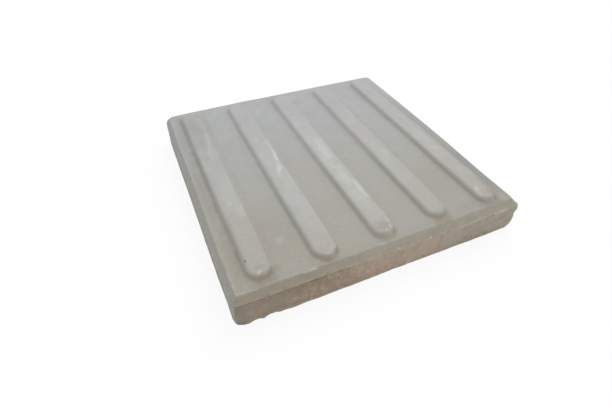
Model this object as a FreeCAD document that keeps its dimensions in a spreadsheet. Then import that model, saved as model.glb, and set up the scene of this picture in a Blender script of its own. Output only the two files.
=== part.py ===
"""Tactile guidance paving slab, cast as one piece of concrete.

A square slab with upright sides, a wide bevel all round its walking face, and a row of
flat-topped raised bars with rounded ends that run along Y, the direction of travel.
Millimetres, +Z up. The origin is the centre of the underside.
"""

import FreeCAD
import Part
import Sketcher

import math
import os

# The driving dimensions, in millimetres: name, value, and what it measures.
SIZES = [
    ("slab_width", 400.0, "across the bars, side to side"),
    ("slab_length", 400.0, "along the bars, side to side"),
    ("slab_thickness", 48.0, "underside to walking face"),
    ("corner_radius", 6.0, "upright corners, in plan"),
    ("bevel_width", 8.0, "side to edge of walking face, in plan"),
    ("bevel_drop", 8.0, "walking face down to the arris"),
    ("face_corner_radius", 3.0, "corners of the walking face, in plan"),
    ("bar_pitch", 80.0, "centre to centre of two bars"),
    ("bar_width", 36.0, "at the foot of a bar"),
    ("bar_height", 5.0, "above the walking face"),
    ("bar_end_margin", 8.0, "end of a bar to edge of walking face"),
    ("flank_run", 4.5, "slope of a bar's flank, in plan"),
    ("shoulder_radius", 7.0, "rounding between flank and flat top"),
    ("root_radius", 4.0, "hollow between flank and walking face"),
]

# Places worked out from the driving dimensions, as expressions on the sheet.
ARRIS_LEVEL = "Sizes.slab_thickness - Sizes.bevel_drop"
FACE_LEVEL = "Sizes.slab_thickness"
FACE_WIDTH = "(Sizes.slab_width - 2 * Sizes.bevel_width)"
FACE_LENGTH = "(Sizes.slab_length - 2 * Sizes.bevel_width)"
BAR_COUNT = f"(floor(({FACE_WIDTH} - Sizes.bar_width) / Sizes.bar_pitch) + 1)"
FIRST_BAR = f"(1 - {BAR_COUNT}) * Sizes.bar_pitch / 2"
BAR_STRAIGHT = f"{FACE_LENGTH} - 2 * Sizes.bar_end_margin - Sizes.bar_width"
BAR_TAPER = "-atan2(Sizes.flank_run; Sizes.bar_height)"

UP = FreeCAD.Vector(0, 0, 1)
LEVEL_TOLERANCE = 1e-6


def make_sheet(doc):
    """The spreadsheet of driving dimensions, one aliased cell each."""
    sheet = doc.addObject("Spreadsheet::Sheet", "Sizes")
    for row, (name, value, meaning) in enumerate(SIZES, start=1):
        sheet.set(f"A{row}", name)
        sheet.set(f"B{row}", str(value))
        sheet.set(f"C{row}", meaning)
        sheet.setAlias(f"B{row}", name)
    doc.recompute()
    return sheet


def origin_feature(body, role):
    """One of the body's own origin planes or axes, found by its role."""
    return next(item for item in body.Origin.OriginFeatures if item.Role == role)


def new_sketch(body, name, **offset):
    """A level sketch, moved from the origin by expressions along x, y and z."""
    sketch = body.newObject("Sketcher::SketchObject", name)
    sketch.AttachmentSupport = [(origin_feature(body, "XY_Plane"), "")]
    sketch.MapMode = "FlatFace"
    for axis, expression in offset.items():
        sketch.setExpression(f".AttachmentOffset.Base.{axis}", expression)
    return sketch


def constrain(sketch, rules):
    for rule in rules:
        sketch.addConstraint(Sketcher.Constraint(*rule))


def drive(sketch, name, expression, *rule):
    """A dimension of the sketch, named and driven by an expression on the sheet."""
    index = sketch.addConstraint(Sketcher.Constraint(*rule))
    sketch.renameConstraint(index, name)
    sketch.setExpression(f"Constraints.{name}", expression)


def add_line(sketch, start, end):
    return sketch.addGeometry(Part.LineSegment(FreeCAD.Vector(*start), FreeCAD.Vector(*end)))


def add_arc(sketch, centre, radius, start_degrees, end_degrees):
    circle = Part.Circle(FreeCAD.Vector(*centre), UP, radius)
    start, end = math.radians(start_degrees), math.radians(end_degrees)
    return sketch.addGeometry(Part.ArcOfCircle(circle, start, end))


def draw_rounded_square(sketch, width, length, corner_radius):
    """Four sides and four equal corner arcs about the sketch's origin.

    It is drawn as a rough square, and the three expressions drive it to its real size.
    """
    half, radius = 100.0, 5.0
    inner = half - radius
    near = add_line(sketch, (-inner, -half), (inner, -half))
    near_right = add_arc(sketch, (inner, -inner), radius, -90, 0)
    right = add_line(sketch, (half, -inner), (half, inner))
    far_right = add_arc(sketch, (inner, inner), radius, 0, 90)
    far = add_line(sketch, (inner, half), (-inner, half))
    far_left = add_arc(sketch, (-inner, inner), radius, 90, 180)
    left = add_line(sketch, (-half, inner), (-half, -inner))
    near_left = add_arc(sketch, (-inner, -inner), radius, 180, 270)
    loop = [near, near_right, right, far_right, far, far_left, left, near_left]
    constrain(sketch, [("Tangent", loop[i - 1], 2, loop[i], 1) for i in range(len(loop))])
    constrain(sketch, [("Horizontal", near), ("Horizontal", far)])
    constrain(sketch, [("Vertical", right), ("Vertical", left)])
    constrain(sketch, [("Equal", near_left, arc) for arc in (near_right, far_right, far_left)])
    constrain(sketch, [("Symmetric", near, 1, far, 1, -1, 1)])
    drive(sketch, "Width", width, "DistanceX", left, 1, right, 1, 2 * half)
    drive(sketch, "Length", length, "DistanceY", near, 1, far, 1, 2 * half)
    drive(sketch, "Corner", corner_radius, "Radius", near_left, radius)


def draw_slot(sketch, straight, end_radius):
    """Two straight sides along y and two half-round ends about the sketch's origin.

    It is drawn as a rough slot, and the two expressions drive it to its real size.
    """
    half, radius = 100.0, 15.0
    right = add_line(sketch, (radius, -half), (radius, half))
    far = add_arc(sketch, (0, half), radius, 0, 180)
    left = add_line(sketch, (-radius, half), (-radius, -half))
    near = add_arc(sketch, (0, -half), radius, 180, 360)
    loop = [right, far, left, near]
    constrain(sketch, [("Tangent", loop[i - 1], 2, loop[i], 1) for i in range(len(loop))])
    constrain(sketch, [("Vertical", right), ("Equal", near, far)])
    constrain(sketch, [("Symmetric", right, 1, left, 1, -1, 1)])
    drive(sketch, "Straight", straight, "DistanceY", right, 1, right, 2, 2 * half)
    drive(sketch, "EndRadius", end_radius, "Radius", near, radius)


def add_slab(body):
    """The slab itself: an upright block up to the arris, and the bevel above it."""
    arris = new_sketch(body, "arris_outline", z=ARRIS_LEVEL)
    draw_rounded_square(arris, "Sizes.slab_width", "Sizes.slab_length", "Sizes.corner_radius")
    face = new_sketch(body, "face_outline", z=FACE_LEVEL)
    draw_rounded_square(face, FACE_WIDTH, FACE_LENGTH, "Sizes.face_corner_radius")

    block = body.newObject("PartDesign::Pad", "block")
    block.Profile = arris
    block.Reversed = True
    block.setExpression("Length", ARRIS_LEVEL)

    bevel = body.newObject("PartDesign::AdditiveLoft", "bevel")
    bevel.Profile = arris
    bevel.Sections = [face]
    bevel.Ruled = True


def add_bars(body):
    """The row of bars: one tapered slot at the -X end, repeated at the pitch."""
    foot = new_sketch(body, "bar_foot", x=FIRST_BAR, z=FACE_LEVEL)
    draw_slot(foot, BAR_STRAIGHT, "Sizes.bar_width / 2")

    bar = body.newObject("PartDesign::Pad", "bar")
    bar.Profile = foot
    bar.setExpression("Length", "Sizes.bar_height")
    bar.setExpression("TaperAngle", BAR_TAPER)

    row = body.newObject("PartDesign::LinearPattern", "bar_row")
    row.Originals = [bar]
    row.Direction = (foot, ["H_Axis"])
    row.Mode = "Spacing"
    row.setExpression("Offset", "Sizes.bar_pitch")
    row.setExpression("Occurrences", BAR_COUNT)
    body.Tip = row
    return row


def level_edges(shape, level):
    """Names of the edges that lie wholly at one height, less the walking face's own outline."""
    walking_face = max(shape.Faces, key=lambda face: face.Area if face.normalAt(0, 0).z > 0 else 0)
    outline = walking_face.OuterWire.Edges
    names = []
    for number, edge in enumerate(shape.Edges, start=1):
        box = edge.BoundBox
        off_level = max(abs(box.ZMin - level), abs(box.ZMax - level))
        if off_level < LEVEL_TOLERANCE and not any(edge.isSame(side) for side in outline):
            names.append(f"Edge{number}")
    return names


def add_fillet(body, name, base, level, radius):
    """Rounds every edge of the bars at one height of the shape so far."""
    fillet = body.newObject("PartDesign::Fillet", name)
    fillet.Base = (base, level_edges(base.Shape, level))
    fillet.setExpression("Radius", radius)
    body.Tip = fillet
    return fillet


def check(doc, body):
    """Stops before anything is written if a feature failed or the slab isn't one sound solid."""
    for item in doc.Objects:
        if {"Invalid", "Error"} & set(item.State):
            raise RuntimeError(f"{item.Name} failed: {item.State}")
    shape = body.Shape
    if shape.isNull() or not shape.isValid() or len(shape.Solids) != 1:
        raise RuntimeError(f"{body.Label} is not one valid solid")


def main():
    doc = FreeCAD.newDocument("tactile_paving_slab")
    sheet = make_sheet(doc)
    body = doc.addObject("PartDesign::Body", "paving_slab")
    body.Label = "paving_slab"
    add_slab(body)
    row = add_bars(body)
    doc.recompute()

    face_level = float(sheet.slab_thickness)
    crest_level = face_level + float(sheet.bar_height)
    shoulders = add_fillet(body, "shoulders", row, crest_level, "Sizes.shoulder_radius")
    doc.recompute()
    add_fillet(body, "roots", shoulders, face_level, "Sizes.root_radius")
    doc.recompute()

    check(doc, body)
    os.makedirs("parts", exist_ok=True)
    body.Shape.exportStep(f"parts/{body.Label}.step")
    print(f"{body.Label}: {body.Shape.Volume:.0f} mm3, {len(body.Shape.Faces)} faces, {body.Shape.BoundBox}")


main()
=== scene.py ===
import math

import bpy
import numpy as np
from mathutils import Matrix, Vector


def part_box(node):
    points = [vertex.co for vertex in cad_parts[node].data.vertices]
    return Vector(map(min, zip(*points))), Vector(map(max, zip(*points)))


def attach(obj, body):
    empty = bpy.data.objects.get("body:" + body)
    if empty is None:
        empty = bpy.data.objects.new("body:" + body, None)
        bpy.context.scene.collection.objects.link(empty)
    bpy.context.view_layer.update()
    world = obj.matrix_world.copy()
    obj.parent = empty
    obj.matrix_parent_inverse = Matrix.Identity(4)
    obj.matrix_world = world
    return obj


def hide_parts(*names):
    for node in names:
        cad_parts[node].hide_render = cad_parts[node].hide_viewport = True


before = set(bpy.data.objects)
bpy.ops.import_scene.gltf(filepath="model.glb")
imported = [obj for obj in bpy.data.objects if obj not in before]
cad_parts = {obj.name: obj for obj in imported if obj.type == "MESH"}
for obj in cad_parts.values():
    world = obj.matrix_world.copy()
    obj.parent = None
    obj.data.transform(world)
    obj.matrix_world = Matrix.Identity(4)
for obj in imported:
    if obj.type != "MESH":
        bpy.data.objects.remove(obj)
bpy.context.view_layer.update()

# The mesh is worked out in millimetres, in the row frame, and written in metres.
MM = 0.001

# The slab's sizes, as in its solid.
SLAB_HIGH = np.array(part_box("paving_slab")[1]) / MM
HALF_SIDE = SLAB_HIGH[0]
BAR_HEIGHT = 5.0
FACE_LEVEL = SLAB_HIGH[2] - BAR_HEIGHT
BEVEL = 8.0
ARRIS_LEVEL = FACE_LEVEL - BEVEL
# Corners in plan, worn to different radii: near left, near right, far right, far left.
ARRIS_CORNERS = np.array((6.0, 6.0, 7.0, 12.0))
FACE_CORNERS = np.array((1.5, 4.0, 5.5, 9.0))
# The grid in the middle of the walking face has almost square corners.
GRID_CORNERS = np.full(4, 0.5)
BAR_CENTRES = (-160.0, -80.0, 0.0, 80.0, 160.0)
BAR_WIDTH = 36.0
BAR_END_MARGIN = 8.0
FLANK_RUN = 4.5
# Shoulders and roots are worn a little rounder than in the solid.
SHOULDER_RADIUS = 8.0
ROOT_RADIUS = 5.0

HALF_FACE = HALF_SIDE - BEVEL
BAR_FOOT = BAR_WIDTH / 2
HALF_STRAIGHT = HALF_FACE - BAR_END_MARGIN - BAR_FOOT
# Where the hollow at a bar's foot ends, from the bar's centre line.
BAR_REACH = 20.0

# The walking face is a grid up to this far from its edge; rings round it make the rest.
GRID_MARGIN = 4.5
HALF_GRID = HALF_FACE - GRID_MARGIN
# The underside's coarse grid: its lines each way, and how far it stays inside the walking face's edge.
UNDER_LINES = 63
UNDER_MARGIN = 2.0
# Points this close to the square's edge count as on the near side, or on the walking face's edge.
SIDE_BAND = 4.0
FACE_EDGE_BAND = 6.0
# Least distance to divide by.
TINY = 1e-6

# How the near end of each bar is rounded: 2 is a half circle, less is more pointed.
NEAR_END_ROUNDNESS = (2.0, 1.3, 1.9, 2.0, 1.9)
# How much steeper the flank is at the near end of each bar, as a share.
NEAR_END_SHARPNESS = (0.1, 0.4, 0.15, 0.0, 0.15)
# How much narrower each bar is worn on its left side, towards the near end.
NEAR_LEFT_WEAR = (2.1, 0.0, 0.0, 0.0, 0.0)
# How much narrower each bar's right side is just before its near end.
NEAR_RIGHT_TAPER = (0.8, 0.0, 2.0, 1.5, 2.0)
# How much fuller each bar is on its left side, away from the near end, and on its right side
# near the middle.
LEFT_FULLER = (0.0, 0.5, 0.2, 0.4, 0.8)
RIGHT_FULLER = (0.8, 0.9, 0.0, 0.3, 0.0)
# How much longer each bar's near end is than in the solid; less than 0 is shorter.
NEAR_END_LONGER = (0.8, 5.2, 1.8, -0.3, 1.8)
# How much painted shade lies on each bar's left flank, near and far, as a painted shadow on the face
# left of it, on its right and on its near end.
LEFT_SHADE_NEAR = np.array((0.22, 0.05, 0.05, 0.12, 0.15))
LEFT_SHADE_FAR = np.array((0.42, 0.0, 0.0, 0.0, 0.0))
LEFT_SHADOW_STRIP = np.array((0.36, 0.14, 0.14, 0.17, 0.25))
RIGHT_SHADE = np.array((0.18, 0.1, 0.1, 0.18, 0.42))
NEAR_END_SHADE = np.array((0.12, 0.03, 0.05, 0.0, 0.0))
# How much painted shade lies on the right half of each bar's near end.
NEAR_RIGHT_SHADE = np.array((0.55, 0.8, 0.45, 0.15, 0.35))
# How much painted light pales the shade on each bar's left flank, towards the far end, and on its near
# end.
LEFT_PAINTED_LIGHT = np.array((0.0, 0.08, 0.2, 0.27, 0.08))
NEAR_END_PAINTED_LIGHT = np.array((0.05, 0.12, 0.22, 0.06, 0.26))
# How far feet have polished each bar, with painted sheen on its crown.
BAR_WEAR_AND_SHEEN = (0.38, 0.72, 0.88, 0.4, 0.35)

LATTICE_SIZE = 64
LATTICE = np.random.default_rng(11).uniform(-1.0, 1.0, (LATTICE_SIZE,) * 3)


def smoothstep(start, end, value):
    """0 up to start, 1 from end on, and smooth in between; start may be the larger."""
    part = np.clip((value - start) / (end - start), 0.0, 1.0)
    return part * part * (3.0 - 2.0 * part)


def bell(value, centre, width):
    """1 at the centre, falling off smoothly to both sides."""
    return np.exp(-(((value - centre) / width) ** 2))


def noise(points, lump, seed):
    """Smooth random values from about -1 to 1, one for each point, in lumps of that size."""
    where = points / lump + np.array((17.3, 5.1, 9.7)) * seed
    cell = np.floor(where).astype(int)
    part = where - cell
    part = part * part * (3.0 - 2.0 * part)
    total = np.zeros(len(points))
    for corner in np.ndindex(2, 2, 2):
        weight = np.prod(np.where(corner, part, 1.0 - part), axis=1)
        total += weight * LATTICE[tuple(((cell + corner) % LATTICE_SIZE).T)]
    return total


def graded_lines(spans):
    """Grid lines through spans of (start, end, longest step)."""
    lines = [spans[0][0]]
    for start, end, step in spans:
        count = math.ceil((end - start) / step)
        lines.extend(np.linspace(start, end, count + 1)[1:])
    return np.array(lines)


def grid_columns():
    """Grid lines across the bars, close together on the flanks."""
    flank_in, flank_out = 9.0, 21.0
    spans = [(-HALF_GRID, BAR_CENTRES[0] - flank_out, 1.3)]
    for number, centre in enumerate(BAR_CENTRES):
        spans.append((centre - flank_out, centre - flank_in, 0.95))
        spans.append((centre - flank_in, centre + flank_in, 2.25))
        spans.append((centre + flank_in, centre + flank_out, 0.95))
        if centre != BAR_CENTRES[-1]:
            spans.append((centre + flank_out, BAR_CENTRES[number + 1] - flank_out, 2.4))
    spans.append((BAR_CENTRES[-1] + flank_out, HALF_GRID, 1.3))
    return graded_lines(spans)


def grid_rows():
    """Grid lines along the bars, close together at the bars' round ends."""
    end_in, end_out = 160.0, 186.0
    return graded_lines([
        (-HALF_GRID, -end_out, 1.0),
        (-end_out, -end_in, 0.95),
        (-end_in, end_in, 2.2),
        (end_in, end_out, 0.95),
        (end_out, HALF_GRID, 1.0),
    ])


def bar_profile(distance):
    """Height above the walking face, at a distance from a bar's centre line."""
    slope = math.atan2(BAR_HEIGHT, FLANK_RUN)
    shoulder_reach = SHOULDER_RADIUS * math.tan(slope / 2)
    root_reach = ROOT_RADIUS * math.tan(slope / 2)
    crest = BAR_FOOT - FLANK_RUN
    shoulder_in = crest - shoulder_reach
    shoulder_out = crest + shoulder_reach * math.cos(slope)
    root_in = BAR_FOOT - root_reach * math.cos(slope)
    root_out = BAR_FOOT + root_reach
    shoulder = BAR_HEIGHT - SHOULDER_RADIUS
    shoulder = shoulder + np.sqrt(np.maximum(SHOULDER_RADIUS**2 - (distance - shoulder_in) ** 2, 0.0))
    flank = (BAR_FOOT - distance) * BAR_HEIGHT / FLANK_RUN
    root = ROOT_RADIUS - np.sqrt(np.maximum(ROOT_RADIUS**2 - (root_out - distance) ** 2, 0.0))
    return np.select(
        [distance < shoulder_in, distance < shoulder_out, distance < root_in, distance < root_out],
        [BAR_HEIGHT, shoulder, flank, root],
        0.0,
    )


def nearest_bar(points):
    """Each point's distance and direction from the nearest bar's centre line, and the bar's number."""
    x, y = points[:, 0], points[:, 1]
    nearest = np.full(len(points), np.inf)
    direction = np.zeros((len(points), 2))
    bar = np.zeros(len(points), dtype=int)
    along = np.column_stack([np.zeros_like(y), y, np.zeros_like(y)])
    for number, centre in enumerate(BAR_CENTRES):
        left_in = NEAR_LEFT_WEAR[number] * smoothstep(-10.0, -120.0, y)
        left_in -= LEFT_FULLER[number] * smoothstep(-150.0, -50.0, y)
        right_in = NEAR_RIGHT_TAPER[number] * smoothstep(-150.0, -174.0, y)
        right_in -= RIGHT_FULLER[number] * bell(y, -85.0, 60.0)
        aside = x - centre - 0.5 * noise(along, 90.0, 20 + number)
        across = np.maximum(np.abs(aside) + np.where(aside < 0.0, left_in, right_in), 0.0)
        straight = HALF_STRAIGHT + np.where(y < 0.0, NEAR_END_LONGER[number], 0.0)
        beyond = np.maximum(np.abs(y) - straight, 0.0)
        power = np.where(y < 0.0, NEAR_END_ROUNDNESS[number], 2.0)
        distance = (across**power + beyond**power) ** (1.0 / power)
        nearer = distance < nearest
        away = np.column_stack([np.sign(aside) * across, np.sign(y) * beyond])
        direction[nearer] = (away / np.maximum(distance, TINY)[:, None])[nearer]
        bar[nearer] = number
        steeper = NEAR_END_SHARPNESS[number] * smoothstep(0.0, 8.0, beyond) * (y < 0.0)
        distance = distance - steeper * np.maximum(BAR_REACH - distance, 0.0)
        nearest[nearer] = distance[nearer]
    return nearest + 0.35 * noise(points, 26.0, 1) + 0.3 * noise(points, 6.0, 2), direction, bar


def painted_shade(points, distance, direction, bar):
    """Painted shade round the bars: on their flanks and near ends, and a painted shadow on the face
    left of them.
    """
    near_share = smoothstep(90.0, -110.0, points[:, 1])
    left_flank = near_share * LEFT_SHADE_NEAR[bar] + (1.0 - near_share) * LEFT_SHADE_FAR[bar]
    left = smoothstep(0.3, 0.9, -direction[:, 0])
    right = smoothstep(0.3, 0.9, direction[:, 0])
    near_end = smoothstep(0.15, 0.8, -direction[:, 1])
    on_flank = smoothstep(10.5, 16.0, distance) * (1.0 - smoothstep(17.0, 24.0, distance))
    beside = smoothstep(15.0, 20.0, distance) * (1.0 - smoothstep(21.0, 31.0, distance))
    at_foot = smoothstep(5.0, 16.0, distance) * (1.0 - smoothstep(19.0, 26.0, distance))
    amount = on_flank * np.maximum(left * left_flank, near_end * NEAR_END_SHADE[bar])
    near_right = smoothstep(0.15, 0.5, -direction[:, 1]) * smoothstep(0.2, 0.6, direction[:, 0])
    amount += on_flank * near_right * NEAR_RIGHT_SHADE[bar]
    amount += beside * left * LEFT_SHADOW_STRIP[bar] + at_foot * right * RIGHT_SHADE[bar]
    patchy = 0.9 + 0.3 * noise(points, 17.0, 41) + 0.25 * noise(points, 5.0, 42)
    return np.clip(amount * patchy, 0.0, 1.0)


def painted_light(points, distance, direction, bar):
    """Painted light paling the shade at the foot of the bars' left flanks, towards the far side, and on
    their near ends.
    """
    left = smoothstep(0.3, 0.9, -direction[:, 0])
    at_foot = smoothstep(13.0, 17.0, distance) * (1.0 - smoothstep(16.5, 20.0, distance))
    on_left = at_foot * left * LEFT_PAINTED_LIGHT[bar] * smoothstep(-110.0, 20.0, points[:, 1])
    near_end = smoothstep(0.2, 0.8, -direction[:, 1]) * smoothstep(-0.95, -0.4, direction[:, 0])
    near_end = near_end * smoothstep(0.7, 0.3, direction[:, 0])
    on_end = smoothstep(12.0, 15.0, distance) * (1.0 - smoothstep(17.0, 20.0, distance))
    return np.maximum(on_left, on_end * near_end * NEAR_END_PAINTED_LIGHT[bar])


def wear_and_sheen(points):
    """How far feet have polished the bars, with painted sheen: most on the middle one, hardly at their
    far ends.
    """
    x, y = points[:, 0], points[:, 1]
    by_bar = np.interp(x, BAR_CENTRES, BAR_WEAR_AND_SHEEN)
    far_part = 1.0 - 0.8 * smoothstep(10.0, 150.0, y)
    near_part = 0.6 + 0.4 * smoothstep(-170.0, -80.0, y)
    return by_bar * far_part * near_part


def make_top():
    """The walking face with its bars, as a grid: its points and masks, row by row."""
    columns, rows = grid_columns(), grid_rows()
    x, y = np.meshgrid(columns, rows)
    points = np.column_stack([x.ravel(), y.ravel(), np.full(x.size, FACE_LEVEL)])
    distance, direction, bar = nearest_bar(points)
    crown = 1.0 - smoothstep(9.0, 14.8, distance)
    # Wear on the bars' crowns, partly a painted sheen.
    worn = (1.0 - smoothstep(11.5, 16.5, distance)) * wear_and_sheen(points)
    points[:, 2] += bar_profile(distance)
    points[:, 2] += 0.22 * noise(points, 75.0, 3) + 0.07 * noise(points, 16.0, 4)
    points[:, 2] += crown * 0.18 * noise(points, 40.0, 5)
    masks = {
        "crown": crown,
        "worn": worn,
        # A mask of painted shade round the bars, and a painted shadow beside them.
        "painted_shade": painted_shade(points, distance, direction, bar),
        # A mask of painted light that pales the shade on the bars' flanks and near ends.
        "painted_light": painted_light(points, distance, direction, bar),
    }
    return points, masks, len(columns), len(rows)


def top_faces(column_count, row_count):
    """The index of each point of a grid, and the quads between them, facing up."""
    index = np.arange(row_count * column_count).reshape(row_count, column_count)
    quads = np.stack([index[:-1, :-1], index[:-1, 1:], index[1:, 1:], index[1:, :-1]], axis=-1)
    return index, quads.reshape(-1, 4)


def border(index):
    """The border of an index grid, anticlockwise from its near left corner."""
    return np.concatenate([index[0, :-1], index[:-1, -1], index[-1, :0:-1], index[:0:-1, 0]])


def side_shares(column_values, row_values):
    """For each border point of a grid, the side it is on and its share of the half-length along it."""
    along_x = column_values / abs(column_values[0])
    along_y = row_values / abs(row_values[0])
    shares = np.concatenate([along_x[:-1], along_y[:-1], along_x[:-1], along_y[:-1]])
    lengths = [len(along_x) - 1, len(along_y) - 1] * 2
    return np.repeat(np.arange(4), lengths), shares


def outline(half, radius, sides, shares):
    """Points and outward directions of a square with four rounded corners, at shares of its sides."""
    along = shares * half
    radius = radius[(sides + (shares > 0.0)) % 4]
    over = np.maximum(np.abs(along) - (half - radius), 0.0) / radius
    angle = over * math.pi / 4
    run = np.sign(along) * np.where(over > 0.0, half - radius + radius * np.sin(angle), np.abs(along))
    depth = half - radius + radius * np.cos(angle)
    lean = np.sign(along) * np.sin(angle)
    quarter = sides * math.pi / 2
    turn = np.stack([np.cos(quarter), np.sin(quarter)])

    def turned(right, ahead):
        """A vector along the near side and towards the viewer, turned to its own side."""
        return np.column_stack([right * turn[0] + ahead * turn[1], right * turn[1] - ahead * turn[0]])

    return turned(run, depth), turned(lean, np.cos(angle))


def edge_profile():
    """Rows from the walking face's edge round to the underside: (out from the face's edge, height)."""
    rounding = 2.2
    reach = rounding * math.tan(math.pi / 8)
    rows = [(-3.3, FACE_LEVEL), (-2.1, FACE_LEVEL)]
    for degrees in (0, 11, 22, 34, 45):
        angle = math.radians(degrees)
        out = -reach + rounding * math.sin(angle)
        rows.append((out, FACE_LEVEL - rounding * (1 - math.cos(angle))))
    for share in (0.25, 0.42, 0.6, 0.75):
        rows.append((share * BEVEL, FACE_LEVEL - share * BEVEL))
    rows += [(7.2, ARRIS_LEVEL + 0.9), (7.7, ARRIS_LEVEL + 0.4), (8.0, ARRIS_LEVEL - 0.1)]
    rows += [(8.0, ARRIS_LEVEL - 0.6), (7.75, ARRIS_LEVEL - 1.1), (7.5, ARRIS_LEVEL - 1.7)]
    rows += [(7.45, ARRIS_LEVEL - 2.5)]
    rows += [(7.5, height) for height in np.linspace(ARRIS_LEVEL - 4.2, 7.5, 11)]
    rows += [(7.7, height) for height in (6.3, 5.2, 4.2, 3.3, 2.5, 1.8, 1.2)]
    rows += [(7.7, 0.7), (7.6, 0.3), (7.2, 0.05), (5.5, 0.0)]
    return rows


def face_edge_shift(points):
    """How far the walking face's edge stands out from a true square: a jog, and wear on the right."""
    x, y = points[:, 0], points[:, 1]
    near = y < -HALF_FACE + FACE_EDGE_BAND
    left = x < -HALF_FACE + FACE_EDGE_BAND
    right = x > HALF_FACE - FACE_EDGE_BAND
    jog = 2.2 * (smoothstep(-122.0, -112.0, x) - smoothstep(-101.0, -97.0, x))
    slope = 0.6 - 1.2 * smoothstep(-180.0, -140.0, x) - 0.2 * smoothstep(-110.0, -40.0, x)
    worn = -0.2 * smoothstep(30.0, 70.0, x) - 1.0 * smoothstep(95.0, 130.0, x)
    worn -= 0.8 * smoothstep(150.0, 185.0, x)
    right_worn = -1.6 * smoothstep(-40.0, -150.0, y)
    elsewhere = np.where(left, 0.9, np.where(right, right_worn, 0.0))
    return np.where(near, jog + slope + worn, elsewhere)


def arris_draw(points):
    """How far the arris and the side below it stand in on the left, where the bevel is narrower."""
    return 0.55 * (points[:, 0] < -HALF_FACE) * smoothstep(-195.0, -170.0, points[:, 1])


# Broken places in the near lower edge: place along it, half width and rise. The first and the last
# run round the corners.
LOWER_BREAKS = [
    (-203.0, 17.0, 2.4),
    (-175.0, 9.0, 3.0),
    (-156.0, 12.0, 3.6),
    (-142.0, 10.0, 1.4),
    (203.0, 21.0, 8.5),
]


def lower_edge_rise(points):
    """How far the lower edge is broken or rounded away above the bed, most at the near side's ends."""
    x, y = points[:, 0], points[:, 1]
    flat = points * (1.0, 1.0, 0.0)
    near = y < -HALF_SIDE + SIDE_BAND
    rise = 1.8 * smoothstep(-60.0, 10.0, x) - 0.7 * smoothstep(85.0, 125.0, x)
    rise = rise + 1.1 * smoothstep(140.0, 185.0, x)
    for place, half_width, height in LOWER_BREAKS:
        rise = np.maximum(rise, height * (1.0 - smoothstep(0.25, 1.0, np.abs(x - place) / half_width)))
    place, half_width, height = np.where((x < 0.0)[:, None], LOWER_BREAKS[0], LOWER_BREAKS[-1]).T
    turned = height * (1.0 - smoothstep(0.25, 1.0, (y + np.abs(place)) / half_width))
    ragged = 0.35 * np.abs(noise(flat, 5.0, 31))
    ragged = ragged + 0.4 * noise(flat, 2.2, 32) * smoothstep(1.0, 3.0, rise)
    elsewhere = 1.0 + 0.9 * np.maximum(noise(flat, 14.0, 33), 0.0) + 0.5 * noise(flat, 4.0, 34)
    return np.maximum(np.where(near, rise + ragged, np.maximum(elsewhere, turned)), 0.2)


def worn_arris(points, height):
    """How far the bevel, arris and lip are worn back: at corners and in the near side's middle."""
    x, y = points[:, 0], points[:, 1]
    above = height - ARRIS_LEVEL
    near_right = smoothstep(374.0, 394.0, x - y)
    far_left = smoothstep(366.0, 392.0, y - x)
    near_left = smoothstep(384.0, 396.0, -x - y)
    middle = smoothstep(-60.0, -10.0, x) * (1.0 - smoothstep(60.0, 100.0, x))
    middle = middle * (y < -HALF_SIDE + SIDE_BAND)
    worn = near_right * (2.4 * bell(above, 2.0, 4.5) - 0.3 * (above < -1.0))
    worn += near_right * 1.3 * bell(above, -14.0, 6.0)
    worn += far_left * (bell(above, 0.0, 3.0) - bell(above, 4.0, 2.2))
    worn += near_left * (0.8 * bell(above, 0.0, 3.5) + 1.6 * smoothstep(-20.0, -36.0, above))
    return worn + middle * 0.45 * bell(above, 0.0, 1.2)


def lip_drop(points, height):
    """How far the arris sags along the middle and right of the near side, and at its left end."""
    x, y = points[:, 0], points[:, 1]
    middle = smoothstep(-70.0, -40.0, x) * (1.0 - smoothstep(110.0, 140.0, x))
    along = 1.6 * middle + 1.3 * smoothstep(-188.0, -198.0, x)
    return (y < -HALF_FACE) * along * bell(height, ARRIS_LEVEL, 3.0)


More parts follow.
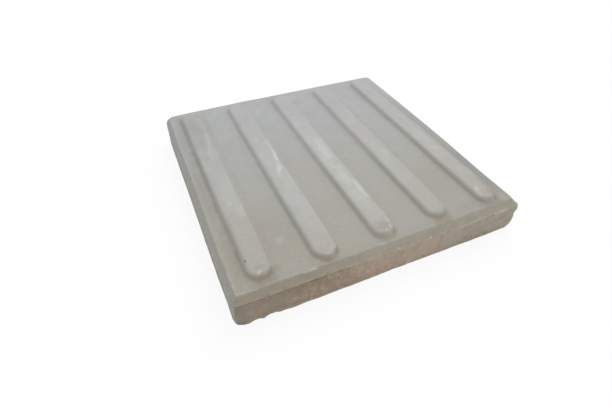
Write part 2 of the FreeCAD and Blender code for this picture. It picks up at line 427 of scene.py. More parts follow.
def make_rings(sides, shares):
    """The bevel, the arris, the sides and the lower edge, ring by ring, outside the grid."""
    rings, masks = [], {}
    for out, height in edge_profile():
        above = height - ARRIS_LEVEL
        if out < 0.0:
            radius = FACE_CORNERS + (GRID_CORNERS - FACE_CORNERS) * (-out / GRID_MARGIN)
        else:
            radius = FACE_CORNERS + (ARRIS_CORNERS - FACE_CORNERS) * (out / BEVEL)
        plan, away = outline(HALF_FACE + out, radius, sides, shares)
        points = np.column_stack([plan, np.full(len(plan), height)])
        bevel = smoothstep(-0.3, 1.5, out) if above > 0.0 else smoothstep(-1.5, 0.0, above)
        side = smoothstep(0.5, -1.2, above)
        lip = bell(above, 0.0, 1.5)
        seam = bell(above, -2.2, 1.0)
        edge = bell(out, 0.0, 1.6) if above > 0.0 else 0.0
        hold = 1.0 - abs(out) / (GRID_MARGIN if out < 0.0 else BEVEL) if above > 0.0 else 0.0

        flat = points * (1.0, 1.0, 0.0)
        shift = hold * face_edge_shift(points) - smoothstep(0.0, BEVEL, out) * arris_draw(points)
        shift += edge * (0.4 * noise(flat, 34.0, 6) + 0.16 * noise(flat, 9.0, 7))
        shift += bevel * 0.2 * noise(points, 12.0, 8)
        shift += lip * (0.35 * noise(flat, 13.0, 9) + 0.4 * noise(flat, 4.5, 10))
        shift -= worn_arris(points, height)
        shift += side * (0.4 * noise(points, 15.0, 12) + 0.2 * noise(points, 5.0, 13))
        shift -= side * 0.85 * np.maximum(lower_edge_rise(points) - height, 0.0)
        points[:, :2] += away * shift[:, None]
        points[:, 2] += lip * 0.5 * noise(flat, 24.0, 14) - lip_drop(points, height)
        if out < 0.0:
            points[:, 2] += bar_profile(nearest_bar(points)[0])
        points[:, 2] += (1.0 - side) * 0.22 * noise(points, 75.0, 3)
        rings.append(points)
        amounts = {"edge": edge, "bevel": bevel, "lip": lip, "seam": seam, "side": side}
        for name, amount in amounts.items():
            masks.setdefault(name, []).append(np.full(len(points), float(amount)))
    return np.array(rings), {name: np.concatenate(rows) for name, rows in masks.items()}


def ring_faces(loops):
    """Quads between each loop of indices and the next, facing outwards."""
    inner, outer = loops[:-1], loops[1:]
    quads = np.stack([inner, outer, np.roll(outer, -1, axis=1), np.roll(inner, -1, axis=1)], axis=-1)
    return quads.reshape(-1, 4)


def zip_faces(outer, outer_place, inner, inner_place):
    """Triangles, facing down, between two loops with their places along the border from 0 to 4."""
    outer, inner = [*outer, outer[0]], [*inner, inner[0]]
    outer_place, inner_place = [*outer_place, 4.0], [*inner_place, 4.0]
    faces = []
    a = b = 0
    while a < len(outer) - 1 or b < len(inner) - 1:
        at_inner_end = b == len(inner) - 1
        if at_inner_end or (a < len(outer) - 1 and outer_place[a + 1] <= inner_place[b + 1]):
            faces.append((outer[a], inner[b], outer[a + 1]))
            a += 1
        else:
            faces.append((outer[a], inner[b], inner[b + 1]))
            b += 1
    return faces


def make_underside():
    """The rough underside as a coarse grid, which stays on or above the floor."""
    half = HALF_FACE - UNDER_MARGIN
    lines = np.linspace(-half, half, UNDER_LINES)
    x, y = np.meshgrid(lines, lines)
    points = np.column_stack([x.ravel(), y.ravel(), np.zeros(x.size)])
    points[:, 2] = np.maximum(0.5 * noise(points, 30.0, 15) + 0.4 * noise(points, 9.0, 16), 0.0)
    return points, lines


# Chips and pits broken out of the near side, as balls taken away: centre and radius.
CHIPS = [
    (-193.0, -201.0, 4.0, 2.2),
    (-190.0, -201.0, 7.0, 1.9),
    (-197.0, -200.8, 12.0, 1.6),
    (184.0, -201.0, 10.0, 1.9),
    (176.0, -201.2, 6.6, 2.1),
    (188.0, -201.0, 15.0, 1.7),
]


def random_chips():
    """Small chips along the arris, all round."""
    chip_count = 56
    random = np.random.default_rng(23)
    chips = []
    for _ in range(chip_count):
        place = random.uniform(-HALF_SIDE, HALF_SIDE)
        edge = HALF_SIDE + random.uniform(1.1, 1.9)
        radius = random.uniform(1.9, 3.2)
        x, y = ((place, -edge), (edge, place), (place, edge), (-edge, place))[random.integers(4)]
        chips.append((x, y, ARRIS_LEVEL + 0.9, radius))
    return chips


def break_out(points, chips):
    """Pushes points out of each ball, into the slab, and returns how far each one was moved."""
    widest = 1.3
    moved = np.zeros(len(points))
    for *centre, radius in chips:
        from_centre = points - centre
        distance = np.linalg.norm(from_centre, axis=1)
        near = np.flatnonzero(distance < radius * widest)
        if not len(near):
            continue
        uneven = 0.16 * noise(points[near], 3.0, 17) + 0.1 * noise(points[near], 1.3, 18)
        push = np.maximum(radius * (1.0 + uneven) - distance[near], 0.0)
        direction = from_centre[near] / np.maximum(distance[near], TINY)[:, None]
        points[near] += direction * push[:, None]
        moved[near] = np.maximum(moved[near], push)
    return moved


def cast_out_of_true(points):
    """The casting isn't quite square: the far left corner is drawn in, and two sides bow."""
    x, y = points[:, 0].copy(), points[:, 1].copy()
    left = smoothstep(-60.0, -200.0, x)
    right = smoothstep(90.0, 200.0, x)
    far = smoothstep(120.0, 200.0, y)
    points[:, 0] += left * (2.0 * smoothstep(0.0, 200.0, y) + 0.9 * bell(y, 20.0, 90.0))
    points[:, 0] += right * 2.1 * bell(y, 30.0, 130.0)
    points[:, 1] += far * 1.5 * smoothstep(30.0, 120.0, x)
    points[:, 1] -= far * (1.2 * smoothstep(-55.0, -95.0, x) + 3.4 * smoothstep(-120.0, -200.0, x))


def build_slab():
    """The whole slab as one closed mesh, with masks for the material."""
    top, top_masks, column_count, row_count = make_top()
    index, faces = top_faces(column_count, row_count)
    sides, shares = side_shares(grid_columns(), grid_rows())
    rings, ring_masks = make_rings(sides, shares)
    under, under_lines = make_underside()

    ring_start = len(top)
    ring_index = ring_start + np.arange(rings.shape[0] * rings.shape[1]).reshape(rings.shape[:2])
    loops = np.vstack([border(index)[None], ring_index])
    under_start = ring_start + ring_index.size
    under_grid = under_start + np.arange(len(under)).reshape(len(under_lines), -1)
    under_quads = top_faces(len(under_lines), len(under_lines))[1][:, ::-1] + under_start
    under_sides, under_shares = side_shares(under_lines, under_lines)
    seam_faces = zip_faces(
        ring_index[-1],
        sides + (shares + 1.0) / 2,
        border(under_grid),
        under_sides + (under_shares + 1.0) / 2,
    )

    points = np.vstack([top, rings.reshape(-1, 3), under])
    moved = break_out(points, CHIPS + random_chips())
    cast_out_of_true(points)
    points[:, 2] = np.maximum(points[:, 2], 0.0)

    masks = {"chip": smoothstep(0.15, 1.2, moved)}
    for name, values in top_masks.items():
        masks[name] = np.concatenate([values, np.zeros(len(points) - ring_start)])
    for name, values in ring_masks.items():
        masks[name] = np.concatenate([np.zeros(ring_start), values, np.zeros(len(under))])
    masks["under"] = np.concatenate([np.zeros(under_start), np.ones(len(under))])

    all_faces = [*faces.tolist(), *ring_faces(loops).tolist(), *seam_faces, *under_quads.tolist()]
    mesh = bpy.data.meshes.new("cast_slab")
    mesh.from_pydata((points * MM).tolist(), [], all_faces)
    mesh.polygons.foreach_set("use_smooth", np.ones(len(mesh.polygons), dtype=bool))
    for name, values in masks.items():
        mesh.attributes.new(name, "FLOAT", "POINT").data.foreach_set("value", values.astype(np.float32))
    mesh.update()
    slab = bpy.data.objects.new("cast_slab", mesh)
    bpy.context.scene.collection.objects.link(slab)
    return slab


def srgb(red, green, blue):
    """A colour as it shows on a screen, from 0 to 255, as the linear values that shaders take."""
    def linear(value):
        value /= 255.0
        return value / 12.92 if value <= 0.04045 else ((value + 0.055) / 1.055) ** 2.4

    return (linear(red), linear(green), linear(blue), 1.0)


class Nodes:
    """A node tree being filled, with one short method for each kind of node."""

    # Sockets of a Mix node that blends colours.
    MIX_SHARE, MIX_FIRST, MIX_SECOND, MIX_RESULT = 0, 6, 7, 2

    def __init__(self, tree):
        self.tree = tree
        tree.nodes.clear()

    def add(self, kind, inputs=None, **settings):
        node = self.tree.nodes.new(kind)
        for name, value in settings.items():
            setattr(node, name, value)
        for name, value in (inputs or {}).items():
            self.put(node.inputs[name], value)
        return node

    def put(self, socket, value):
        """Links a socket to an output, or sets its constant."""
        if isinstance(value, bpy.types.NodeSocket):
            self.tree.links.new(value, socket)
        else:
            socket.default_value = value

    def place(self):
        return self.add("ShaderNodeTexCoord").outputs["Object"]

    def mask(self, name):
        """One of the mesh's masks."""
        return self.add("ShaderNodeAttribute", attribute_name=name).outputs["Fac"]

    def noise(self, lump, detail=2.0, stretch=(1.0, 1.0, 1.0), shift=(0.0, 0.0, 0.0)):
        """Noise from 0 to 1 in lumps of that size in millimetres, longer along stretched axes."""
        scale = tuple(1.0 / (lump * MM * factor) for factor in stretch)
        inputs = {"Vector": self.place(), "Scale": scale, "Location": shift}
        where = self.add("ShaderNodeMapping", inputs).outputs[0]
        inputs = {"Vector": where, "Scale": 1.0, "Detail": detail}
        return self.add("ShaderNodeTexNoise", inputs).outputs["Fac"]

    def noise_colour(self, lump):
        """Three noises from -0.5 to 0.5 as a vector, in lumps of that size in millimetres."""
        texture = self.add("ShaderNodeTexNoise", {"Vector": self.place(), "Scale": 1.0 / (lump * MM)})
        inputs = {0: texture.outputs["Color"], 1: (0.5, 0.5, 0.5)}
        return self.add("ShaderNodeVectorMath", inputs, operation="SUBTRACT").outputs[0]

    def cells(self, size):
        """Distance to scattered points that are about that many millimetres apart, as a share of it."""
        inputs = {"Vector": self.place(), "Scale": 1.0 / (size * MM)}
        return self.add("ShaderNodeTexVoronoi", inputs).outputs["Distance"]

    def ramp(self, value, low, high, start=0.0, end=1.0):
        """Smooth change from start at low to end at high."""
        inputs = {"Value": value, "From Min": low, "From Max": high, "To Min": start, "To Max": end}
        return self.add("ShaderNodeMapRange", inputs, interpolation_type="SMOOTHSTEP").outputs["Result"]

    def ramp_linear(self, value, low, high):
        inputs = {"Value": value, "From Min": low, "From Max": high}
        return self.add("ShaderNodeMapRange", inputs).outputs["Result"]

    def math(self, operation, first, second):
        node = self.add("ShaderNodeMath", operation=operation)
        self.put(node.inputs[0], first)
        self.put(node.inputs[1], second)
        return node.outputs[0]

    def times(self, first, second):
        return self.math("MULTIPLY", first, second)

    def blend(self, share, first, second, mode="MIX"):
        node = self.add("ShaderNodeMix", data_type="RGBA", blend_type=mode)
        self.put(node.inputs[self.MIX_SHARE], share)
        self.put(node.inputs[self.MIX_FIRST], first)
        self.put(node.inputs[self.MIX_SECOND], second)
        return node.outputs[self.MIX_RESULT]

    def along(self, axis):
        """The place along one axis, in metres."""
        return self.add("ShaderNodeSeparateXYZ", {"Vector": self.place()}).outputs[axis]

    def gradient(self, value, stops):
        """Colours at stops from 0 to 1, blended smoothly in between."""
        node = self.add("ShaderNodeValToRGB", {"Fac": value})
        node.color_ramp.interpolation = "EASE"
        marks = node.color_ramp.elements
        for number, (place, colour) in enumerate(stops):
            mark = marks[number] if number < 2 else marks.new(place)
            mark.position = place
            mark.color = colour
        return node.outputs["Color"]

    def strongest(self, where, spots):
        """The strongest of several soft ovals, each with its strength as its last value."""
        total = 0.0
        for *oval, strength in spots:
            total = self.math("MAXIMUM", self.times(self.spot(where, *oval), strength), total)
        return total

    def spot(self, where, x, y, half_width, half_length, turn=0.0):
        """1 in the middle of a soft oval on the walking face, 0 outside it; millimetres and degrees."""
        core = 0.25
        cos, sin = math.cos(math.radians(turn)), math.sin(math.radians(turn))
        inputs = {0: where, 1: (x * MM, y * MM, 0.0)}
        offset = self.add("ShaderNodeVectorMath", inputs, operation="SUBTRACT").outputs["Vector"]
        across = self.dot(offset, (cos / (half_width * MM), sin / (half_width * MM), 0.0))
        along = self.dot(offset, (-sin / (half_length * MM), cos / (half_length * MM), 0.0))
        square = self.math("ADD", self.times(across, across), self.times(along, along))
        reach = self.math("POWER", square, 0.5)
        return self.ramp(reach, core, 1.0, 1.0, 0.0)

    def dot(self, first, second):
        node = self.add("ShaderNodeVectorMath", {0: first, 1: second}, operation="DOT_PRODUCT")
        return node.outputs["Value"]


# Whitish polish and painted sheen on the bars and face: x, y, half width, half length, turn and
# strength.
POLISH_AND_SHEEN = [
    (-66.5, 42.0, 3.4, 24.0, 4.0, 0.6),
    (-69.0, 14.0, 4.2, 26.0, -8.0, 0.85),
    (-75.0, -16.0, 5.0, 20.0, -18.0, 0.8),
    (-79.5, -30.0, 3.5, 9.0, -10.0, 0.5),
    (-82.0, 64.0, 6.0, 9.0, 0.0, 0.35),
    (3.0, 4.0, 12.0, 42.0, -3.0, 0.56),
    (2.0, -43.0, 4.5, 16.0, 55.0, 0.45),
    (1.0, -68.0, 11.0, 32.0, 0.0, 0.4),
    (9.0, -98.0, 3.4, 30.0, 2.0, 0.75),
    (0.0, -106.0, 12.0, 50.0, 0.0, 0.15),
    (-156.0, -36.0, 13.0, 42.0, 0.0, 0.3),
    (-150.0, -16.0, 6.0, 22.0, 0.0, 0.3),
    (-152.0, 74.0, 4.5, 50.0, -7.0, 0.3),
    (-159.0, 30.0, 7.0, 7.0, 0.0, 0.1),
    (-151.0, -76.0, 8.0, 22.0, 0.0, 0.3),
    (-160.0, -59.0, 3.0, 3.5, 0.0, 0.8),
    (81.0, -40.0, 13.0, 55.0, 0.0, 0.1),
    (91.0, 82.0, 3.0, 18.0, -8.0, 0.5),
    (161.0, -30.0, 12.0, 45.0, 0.0, 0.12),
    (163.0, -60.0, 4.0, 11.0, 65.0, 0.45),
    (154.0, -161.0, 5.0, 11.0, -25.0, 0.5),
    (-122.0, -138.0, 8.0, 8.0, 0.0, 0.3),
    (-135.0, -48.0, 3.5, 14.0, 60.0, 0.2),
    (10.0, -164.0, 1.6, 3.0, 0.0, 0.8),
    (8.0, -173.0, 1.8, 3.5, 30.0, 0.9),
    (0.0, -176.0, 3.5, 1.4, 15.0, 0.8),
    (-161.0, -176.0, 5.0, 2.8, 0.0, 0.7),
    (-80.0, -182.0, 4.5, 2.0, 0.0, 0.7),
    (56.0, -153.0, 1.6, 1.2, 0.0, 0.7),
    (-103.0, -192.0, 5.0, 2.0, 0.0, 0.4),
    (178.0, 168.0, 14.0, 32.0, 0.0, 0.3),
    (20.0, 171.0, 16.0, 14.0, 0.0, 0.3),
    (-12.0, -191.5, 8.0, 2.5, 0.0, 0.4),
]

# Brown or greyer stains on the face, partly painted shade below the bars' near ends: x, y, half width,
# half length and strength.
STAINS_AND_SHADE = [
    (-158.0, -188.0, 24.0, 16.0, 1.0),
    (-82.0, -189.0, 22.0, 12.0, 0.8),
    (-3.0, -185.0, 18.0, 10.0, 0.75),
    (79.0, -187.0, 23.0, 13.0, 1.0),
    (158.0, -187.0, 27.0, 15.0, 1.0),
    (173.0, -155.0, 10.0, 26.0, 0.45),
    (167.0, -170.0, 12.0, 12.0, 0.5),
    (-176.0, -143.0, 3.0, 10.0, 0.35),
    (-187.0, -20.0, 9.0, 110.0, 0.45),
    (161.0, -169.0, 11.0, 9.0, 0.3),
    (-187.0, 110.0, 10.0, 80.0, 0.35),
    (187.0, -115.0, 13.0, 100.0, 0.95),
    (188.0, 10.0, 11.0, 120.0, 0.55),
    (-160.0, 120.0, 17.0, 80.0, 0.42),
    (-186.0, -140.0, 12.0, 70.0, 0.32),
    (-186.0, -185.0, 10.0, 9.0, 0.35),
    (-140.0, -176.0, 10.0, 11.0, 0.4),
    (-100.0, -180.0, 10.0, 10.0, 0.35),
    (60.0, -184.0, 10.0, 9.0, 0.35),
    (125.0, -179.0, 28.0, 16.0, 0.35),
    (141.0, -187.0, 12.0, 9.0, 0.4),
    (-184.0, 182.0, 12.0, 16.0, 0.25),
    (-186.0, 58.0, 11.0, 40.0, 0.33),
    (-141.0, 136.0, 10.0, 50.0, 0.2),
    (-146.0, 165.0, 7.0, 11.0, 0.45),
    (-169.0, 85.0, 6.0, 35.0, 0.3),
    (-162.0, 40.0, 8.0, 24.0, 0.2),
    (87.0, -22.0, 6.0, 18.0, 0.15),
    (-159.0, -170.0, 11.0, 6.0, 0.3),
    (-120.0, -130.0, 40.0, 80.0, 0.24),
    (120.0, -120.0, 32.0, 70.0, 0.24),
]

# Dark pinholes and scratches in the face: x, y, half width, half length and strength.
FLAWS = [
    (-170.0, -155.5, 1.5, 2.4, 1.0),
    (25.0, -27.0, 2.2, 2.0, 0.55),
    (21.0, 0.0, 1.7, 1.7, 0.4),
    (-47.5, -145.0, 1.7, 1.6, 0.6),
    (-44.5, -127.5, 1.4, 1.2, 0.4),
    (28.0, 116.0, 1.8, 1.8, 0.4),
    (101.0, 94.0, 2.2, 1.6, 0.4),
    (73.0, -10.0, 4.5, 1.5, 0.5),
    (-75.5, -170.0, 2.0, 1.5, 0.4),
    (-118.0, -171.0, 2.0, 1.2, 0.35),
    (-114.0, -176.5, 2.0, 1.2, 0.35),
    (78.5, -164.5, 3.0, 1.0, 0.3),
]


def near_side_spots(rows):
    """Ovals that reach through the near side, from rows of x, half width and strength."""
    y, half_length = -200.0, 9.0
    return [(x, y, half_width, half_length, strength) for x, half_width, strength in rows]


# Mould and light spots on the near side's lower rim, and light grains with a painted highlight on its
# arris: x, half width and strength.
MOULD = near_side_spots([
    (153.0, 7.0, 1.0),
    (110.0, 7.0, 1.0),
    (12.0, 7.0, 0.5),
    (-112.0, 11.0, 0.7),
])
LIGHT_SPOTS = near_side_spots([
    (26.0, 5.0, 0.8),
    (-108.0, 3.0, 0.4),
])
LIP_SPOTS = near_side_spots([
    (-195.0, 7.0, 0.6),
    (-112.0, 8.0, 0.6),
    (6.0, 4.0, 0.8),
    (53.0, 3.0, 0.8),
    (112.0, 24.0, 0.35),
    (170.0, 14.0, 0.5),
])

# Tones along the sides from the left end to the right, as the mix was poured: olive, brown, pink, grey.
SIDE_TONES = [
    (0.0, srgb(152, 142, 131)),
    (0.14, srgb(157, 144, 130)),
    (0.27, srgb(155, 137, 118)),
    (0.45, srgb(178, 158, 144)),
    (0.62, srgb(178, 165, 150)),
    (0.8, srgb(169, 161, 150)),
    (1.0, srgb(166, 161, 149)),
]


def face_colour(n, cloud, fine):
    """The walking face: grey, warmer near, paler and bluer far as painted sheen; whitish polish and
    sheen on bars.
    """
    x, y = n.along("X"), n.along("Y")
    broad = n.ramp(n.noise(60.0, 1.0), 0.3, 0.7)
    # Painted sheen: the face is paler and bluer towards the far side, and warmer and darker towards the
    # near.
    depth = n.ramp(y, -0.2, 0.19)
    near = n.blend(broad, srgb(165, 159, 147), srgb(163, 160, 150))
    far = n.blend(broad, srgb(173, 173, 172), srgb(173, 175, 175))
    face = n.blend(depth, near, far)
    face = n.blend(n.times(cloud, 0.3), face, srgb(161, 157, 148))
    # The bars' crowns are paler where worn, and partly with a painted sheen.
    worn = n.times(n.mask("worn"), n.ramp(cloud, 0.0, 1.0, 0.75, 0.5))
    face = n.blend(worn, face, srgb(188, 187, 183))

    wander = {0: n.noise_colour(7.0), 1: (0.004, 0.010, 0.0), 2: n.place()}
    where = n.add("ShaderNodeVectorMath", wander, operation="MULTIPLY_ADD").outputs[0]
    # Stains, with painted shade below the bars' near ends.
    stain_and_shade = n.math("MAXIMUM", n.strongest(where, STAINS_AND_SHADE), n.ramp(y, -0.194, -0.168, 0.24, 0.0))
    right_edge = n.times(n.ramp(x, 0.165, 0.178), n.ramp(y, -0.17, -0.13))
    near_strip = n.times(n.ramp(y, -0.175, -0.155, 1.0, 0.0), n.ramp(x, 0.1, 0.15, 1.0, 0.3))
    stain_and_shade_tone = n.blend(near_strip, srgb(143, 136, 125), srgb(144, 132, 115))
    face = n.blend(n.times(stain_and_shade, 0.8), face, n.blend(right_edge, stain_and_shade_tone, srgb(140, 139, 137)))
    blush = n.spot(where, 0.0, -170.0, 17.0, 14.0)
    face = n.blend(n.times(blush, 0.9), face, srgb(160, 151, 141))
    # Polish, partly a painted sheen and painted highlights: paler and smoother on the bars.
    polish_and_sheen = n.strongest(where, POLISH_AND_SHEEN)
    brushed = n.noise(3.2, 3.0, stretch=(0.6, 5.0, 1.0))
    polish_and_sheen = n.times(polish_and_sheen, n.ramp(brushed, 0.3, 0.65, 0.55, 1.0))
    face = n.blend(n.times(polish_and_sheen, 0.62), face, srgb(208, 209, 207))
    # Painted shade on the bars' flanks and near ends, and a painted shadow on the face left of them.
    painted_foot_shade = n.times(n.mask("painted_shade"), n.ramp(fine, 0.35, 0.65, 0.62, 0.45))
    face = n.blend(painted_foot_shade, face, n.blend(right_edge, srgb(117, 106, 88), srgb(110, 108, 104)))
    # Painted light pales the shade on the bars' left flanks and near ends.
    face = n.blend(n.mask("painted_light"), face, n.blend(near_strip, srgb(206, 203, 199), srgb(206, 195, 174)))
    # A painted highlight along the walking face's rounded edge, weaker on the right.
    rim = n.times(n.mask("edge"), n.ramp(fine, 0.38, 0.62, 0.0, 0.4))
    rim = n.times(rim, n.ramp(x, -0.12, 0.0, 1.0, 0.6))
    face = n.blend(rim, face, srgb(188, 185, 176))
    return face, polish_and_sheen


def bevel_colour(n, cloud, fine):
    """The bevel: olive grey, browner on the left of the near side, plain grey on the far side."""
    x, y = n.along("X"), n.along("Y")
    streak = n.ramp(n.noise(5.0, 3.0, stretch=(1.6, 1.6, 0.8), shift=(0.0, 0.0, 1.7)), 0.35, 0.65)
    warm = n.blend(cloud, srgb(165, 156, 141), srgb(156, 151, 136))
    warm = n.blend(n.times(streak, 0.4), warm, srgb(176, 166, 150))
    brown = n.ramp(x, -0.13, -0.02, 1.0, 0.0)
    warm = n.blend(n.times(brown, 0.75), warm, srgb(149, 138, 123))
    olive = n.times(n.ramp(x, 0.13, 0.19), 0.5)
    warm = n.blend(olive, warm, srgb(156, 156, 134))
    left_mitre = n.ramp(n.math("SUBTRACT", x, y), -0.0012, 0.0012)
    right_mitre = n.ramp(n.math("ADD", x, y), -0.0006, 0.0006, 1.0, 0.0)
    plain = n.blend(n.ramp(fine, 0.35, 0.65), srgb(158, 157, 150), srgb(166, 165, 158))
    plain = n.blend(n.ramp(y, 0.02, 0.16), plain, srgb(162, 163, 161))
    plain = n.blend(n.ramp(y, -0.2, -0.1, 0.3, 0.0), plain, srgb(153, 146, 134))
    plain = n.blend(n.ramp(x, 0.188, 0.192, 0.0, 0.45), plain, srgb(148, 149, 149))
    return n.blend(n.times(left_mitre, right_mitre), plain, warm)


def side_colour(n, fine):
    """The sides: brown and blotchy, greyer and specked towards the lower edge."""
    x, y, z = n.along("X"), n.along("Y"), n.along("Z")
    drift = n.times(n.math("SUBTRACT", n.noise(24.0, 2.0), 0.5), 0.16)
    place = n.math("ADD", n.ramp_linear(x, -0.2, 0.2), drift)
    body = n.gradient(place, SIDE_TONES)
    patch = n.ramp(n.noise(15.0, 3.0, stretch=(1.0, 1.0, 1.3), shift=(0.0, 4.2, 0.0)), 0.42, 0.68)
    body = n.blend(n.times(patch, 0.4), body, srgb(142, 126, 108))
    bloom = n.ramp(n.noise(7.0, 3.0, shift=(1.2, 0.0, 3.3)), 0.46, 0.72)
    bloom = n.times(bloom, n.ramp(x, -0.2, -0.1, 0.15, 0.5))
    body = n.blend(bloom, body, srgb(192, 174, 159))
    # Painted shade on the near side's left part, just under the arris lip.
    left_part = n.times(n.ramp(x, -0.2, -0.16, 0.4, 1.0), n.ramp(x, -0.13, 0.0, 1.0, 0.0))
    shade_under_lip = n.times(n.ramp(z, 0.014, 0.034, 0.0, 0.35), left_part)
    body = n.blend(shade_under_lip, body, srgb(128, 114, 98))
    # Painted shade at the near side's left corner.
    body = n.blend(n.ramp(x, -0.2, -0.18, 0.25, 0.0), body, srgb(118, 112, 104))
    flecks = n.noise(3.4, 2.0, stretch=(0.8, 0.8, 2.2), shift=(2.9, 0.0, 0.0))
    fleck = n.ramp(flecks, 0.56, 0.7, 0.0, 0.5)
    fleck = n.times(fleck, n.ramp(x, -0.13, -0.06, 0.3, 1.0))
    body = n.blend(fleck, body, srgb(198, 177, 164))
    past_corner = n.math("ADD", n.math("SUBTRACT", x, y), n.times(drift, 0.03))
    round_corner = n.ramp(past_corner, -0.003, 0.002, 1.0, 0.0)
    left_side = n.times(n.ramp(x, -0.195, -0.191, 1.0, 0.0), round_corner)
    body = n.blend(n.times(left_side, 0.85), body, srgb(173, 171, 166))
    rim = n.ramp(z, 0.002, 0.012, 1.0, 0.0)
    body = n.blend(n.times(rim, 0.4), body, srgb(154, 146, 133))
    mould = n.ramp(n.noise(7.0, 2.0, shift=(0.0, 0.0, 6.1)), 0.54, 0.66, 0.0, 0.5)
    mould = n.math("MAXIMUM", mould, n.strongest(n.place(), MOULD))
    body = n.blend(n.times(mould, n.times(rim, 0.7)), body, srgb(146, 142, 92))
    body = n.blend(n.times(n.strongest(n.place(), LIGHT_SPOTS), rim), body, srgb(206, 204, 178))
    pitted = n.times(n.spot(n.place(), -191.0, -200.0, 8.0, 9.0), rim)
    body = n.blend(n.times(pitted, n.ramp(fine, 0.42, 0.58, 0.15, 0.8)), body, srgb(88, 80, 74))
    speck = n.times(n.ramp(n.noise(3.2, 2.0), 0.55, 0.66), n.ramp(z, 0.002, 0.012, 0.5, 0.15))
    body = n.blend(speck, body, srgb(104, 96, 86))
    body = n.blend(n.ramp(z, 0.001, 0.007, 0.45, 0.0), body, srgb(192, 183, 168))
    return n.blend(n.ramp(fine, 0.6, 0.75, 0.0, 0.3), body, srgb(178, 164, 148))


def concrete_material():
    """Fine cast concrete: grey and smooth on the walking face, brown and rough on the sides."""
    material = bpy.data.materials.new("cast_concrete")
    material.use_nodes = True
    n = Nodes(material.node_tree)
    x, y, z = n.along("X"), n.along("Y"), n.along("Z")
    side, chip, under = n.mask("side"), n.mask("chip"), n.mask("under")
    cloud = n.ramp(n.noise(21.0, 3.0, shift=(3.1, 0.0, 0.0)), 0.32, 0.68)
    fine = n.noise(2.6, 4.0)
    grain = n.noise(0.9, 2.0)

    colour, polish_and_sheen = face_colour(n, cloud, fine)
    colour = n.blend(n.times(n.mask("bevel"), 0.9), colour, bevel_colour(n, cloud, fine))
    colour = n.blend(side, colour, side_colour(n, fine))
    # Painted shade in the seam under the arris lip, darkest on the left.
    painted_seam_shade = n.times(n.mask("seam"), n.ramp(n.noise(9.0, 2.0), 0.35, 0.6, 0.15, 0.75))
    painted_seam_shade = n.times(painted_seam_shade, n.ramp(y, -0.197, -0.19, 1.0, 0.35))
    colour = n.blend(n.times(painted_seam_shade, n.ramp(x, -0.1, -0.06, 1.0, 0.25)), colour, srgb(106, 92, 76))
    # The arris lip: lighter where chipped, and a painted highlight along it.
    chipped_lip_and_highlight = n.ramp(n.noise(6.0, 4.0, shift=(7.7, 0.0, 0.0)), 0.42, 0.62, 0.0, 0.45)
    grains = n.ramp(n.noise(2.3, 1.0, shift=(0.0, 8.8, 0.0)), 0.56, 0.68, 0.0, 0.7)
    chipped_lip_and_highlight = n.math("MAXIMUM", chipped_lip_and_highlight, n.math("MAXIMUM", grains, n.strongest(n.place(), LIP_SPOTS)))
    chipped_lip_and_highlight = n.times(n.mask("lip"), n.times(chipped_lip_and_highlight, n.ramp(x, 0.17, 0.186, 1.0, 0.2)))
    chipped_lip_and_highlight = n.times(chipped_lip_and_highlight, n.ramp(x, -0.06, 0.04, 0.45, 1.0))
    colour = n.blend(chipped_lip_and_highlight, colour, srgb(205, 194, 178))

    broken = n.blend(n.ramp(fine, 0.38, 0.62), srgb(118, 108, 94), srgb(172, 162, 146))
    colour = n.blend(n.times(chip, 0.7), colour, broken)
    pit = n.times(n.ramp(chip, 0.5, 1.0, 0.0, 0.7), n.ramp(z, 0.014, 0.02, 1.0, 0.0))
    colour = n.blend(pit, colour, srgb(84, 72, 64))
    bed = n.blend(n.ramp(n.noise(17.0, 6.0), 0.3, 0.7), srgb(149, 139, 125), srgb(166, 157, 143))
    colour = n.blend(under, colour, bed)

    hole = n.times(n.ramp(n.cells(23.0), 0.028, 0.042, 1.0, 0.0), 0.5)
    hole = n.math("MAXIMUM", n.strongest(n.place(), FLAWS), hole)
    colour = n.blend(n.times(hole, 0.75), colour, srgb(84, 80, 72))
    tone = n.ramp(n.math("ADD", n.times(grain, 0.4), n.times(fine, 0.6)), 0.3, 0.7, 0.95, 1.045)
    grey = n.add("ShaderNodeCombineColor", {"Red": tone, "Green": tone, "Blue": tone}).outputs[0]
    colour = n.blend(1.0, colour, grey, mode="MULTIPLY")

    roughness = n.math("SUBTRACT", n.ramp(n.mask("crown"), 0.0, 1.0, 0.66, 0.6), n.times(polish_and_sheen, 0.16))
    roughness = n.math("MAXIMUM", roughness, n.times(n.math("MAXIMUM", side, under), 0.86))

    coarse = n.math("MAXIMUM", n.math("MAXIMUM", side, under), chip)
    height = n.math("ADD", n.times(grain, 0.3), n.times(fine, n.ramp(coarse, 0.0, 1.0, 0.35, 2.2)))
    height = n.math("SUBTRACT", height, n.times(hole, 1.2))
    bump = n.add("ShaderNodeBump", {"Strength": 0.35, "Distance": 0.0004, "Height": height})
    shader = n.add("ShaderNodeBsdfPrincipled", {
        "Base Color": colour,
        "Roughness": roughness,
        "Normal": bump.outputs["Normal"],
    })
    output = n.add("ShaderNodeOutputMaterial")
    n.tree.links.new(shader.outputs["BSDF"], output.inputs["Surface"])
    return material


def plain_background_share(nodes):
    """1 for rays that see the background itself: from the camera, or in a reflection."""
    path = nodes.add("ShaderNodeLightPath").outputs
    seen = nodes.math("MAXIMUM", path["Is Camera Ray"], path["Is Glossy Ray"])
    return nodes.math("MAXIMUM", seen, path["Is Transmission Ray"])


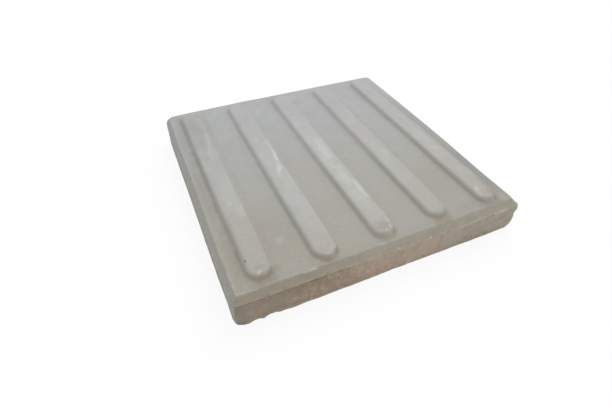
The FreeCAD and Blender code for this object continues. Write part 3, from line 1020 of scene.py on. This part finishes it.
def make_world():
    """Even, slightly cool light from all round, behind a white background."""
    world = bpy.data.worlds.new("studio")
    world.use_nodes = True
    n = Nodes(world.node_tree)
    even = n.add("ShaderNodeBackground", {"Color": (0.97, 1.0, 1.03, 1.0), "Strength": 0.64})
    white = n.add("ShaderNodeBackground", {"Color": (1.0, 1.0, 1.0, 1.0), "Strength": 1.0})
    both = n.add("ShaderNodeMixShader", {"Fac": plain_background_share(n)})
    n.tree.links.new(even.outputs[0], both.inputs[1])
    n.tree.links.new(white.outputs[0], both.inputs[2])
    output = n.add("ShaderNodeOutputWorld")
    n.tree.links.new(both.outputs[0], output.inputs["Surface"])
    bpy.context.scene.world = world


def make_floor():
    """A pale floor, white to the camera but for a faint shadow, clear from below and under the slab."""
    half, drop, clear_half = 4.0, 0.0003, 0.195
    mesh = bpy.data.meshes.new("floor")
    corners = [(-half, -half, 0.0), (half, -half, 0.0), (half, half, 0.0), (-half, half, 0.0)]
    mesh.from_pydata(corners, [], [(0, 1, 2, 3)])
    floor = bpy.data.objects.new("floor", mesh)
    floor.location.z = -drop
    bpy.context.scene.collection.objects.link(floor)

    material = bpy.data.materials.new("pale_floor")
    material.use_nodes = True
    n = Nodes(material.node_tree)
    seen_plain = plain_background_share(n)
    colour = n.blend(seen_plain, (0.86, 0.82, 0.76, 1.0), (1.0, 1.0, 1.0, 1.0))
    pale = n.add("ShaderNodeBsdfDiffuse", {"Color": colour})
    white = n.add("ShaderNodeEmission", {"Color": (1.0, 1.0, 1.0, 1.0), "Strength": 1.0})
    both = n.add("ShaderNodeMixShader", {"Fac": n.times(seen_plain, 0.9)})
    n.tree.links.new(pale.outputs[0], both.inputs[1])
    n.tree.links.new(white.outputs[0], both.inputs[2])
    clear = n.add("ShaderNodeBsdfTransparent")
    behind = n.add("ShaderNodeNewGeometry").outputs["Backfacing"]
    under_slab = 1.0
    for axis in ("X", "Y"):
        within = n.math("COMPARE", n.along(axis), 0.0)
        within.node.inputs[2].default_value = clear_half
        under_slab = n.times(within, under_slab)
    seen = n.add("ShaderNodeMixShader", {"Fac": n.math("MAXIMUM", behind, under_slab)})
    n.tree.links.new(both.outputs[0], seen.inputs[1])
    n.tree.links.new(clear.outputs[0], seen.inputs[2])
    output = n.add("ShaderNodeOutputMaterial")
    n.tree.links.new(seen.outputs[0], output.inputs["Surface"])
    mesh.materials.append(material)
    return floor


def aim(thing, direction):
    """Turns a lamp to shine along a direction."""
    thing.rotation_euler = Vector(direction).to_track_quat("-Z", "Y").to_euler()


def make_lights():
    """A broad soft key from behind on the right, and a weak warm fill from the front."""
    azimuth, elevation = math.radians(48.0), math.radians(50.0)
    key = bpy.data.lights.new("key", "SUN")
    key.energy = 1.35
    key.angle = math.radians(48.0)
    key_lamp = bpy.data.objects.new("key", key)
    flat = math.cos(elevation)
    aim(key_lamp, (-math.sin(azimuth) * flat, -math.cos(azimuth) * flat, -math.sin(elevation)))

    fill = bpy.data.lights.new("fill", "AREA")
    fill.shape = "DISK"
    fill.size = 1.0
    fill.energy = 0.8
    fill.color = (1.0, 0.84, 0.66)
    fill_lamp = bpy.data.objects.new("fill", fill)
    fill_lamp.location = (-0.2, -1.2, 0.45)
    aim(fill_lamp, -fill_lamp.location)
    for lamp in (key_lamp, fill_lamp):
        bpy.context.scene.collection.objects.link(lamp)


def make_camera():
    """A camera where the photograph was taken from, found from the slab's edges in it."""
    azimuth, elevation, roll = -0.4418, 0.7492, 0.0279
    focal_pixels, image_width, sensor_width = 407.95, 612.0, 36.0
    target, distance = Vector((-67.89, -92.68, FACE_LEVEL)), 527.73
    back = Vector((
        math.sin(azimuth) * math.cos(elevation),
        -math.cos(azimuth) * math.cos(elevation),
        math.sin(elevation),
    ))
    location = (target + back * distance) * MM
    right = Vector((0.0, 0.0, 1.0)).cross(back).normalized()
    up = back.cross(right)
    rolled_right = right * math.cos(roll) + up * math.sin(roll)
    rolled_up = up * math.cos(roll) - right * math.sin(roll)
    data = bpy.data.cameras.new("camera")
    data.sensor_width = sensor_width
    data.lens = focal_pixels / image_width * sensor_width
    data.clip_start = 0.01
    camera = bpy.data.objects.new("camera", data)
    turn = Matrix((rolled_right, rolled_up, back)).transposed()
    camera.matrix_world = Matrix.Translation(location) @ turn.to_4x4()
    bpy.context.scene.collection.objects.link(camera)
    bpy.context.scene.camera = camera


bpy.context.scene.view_settings.view_transform = "Standard"
make_camera()
make_world()
make_lights()
make_floor()

slab = build_slab()
slab.data.materials.append(concrete_material())
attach(slab, "root")
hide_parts("paving_slab")
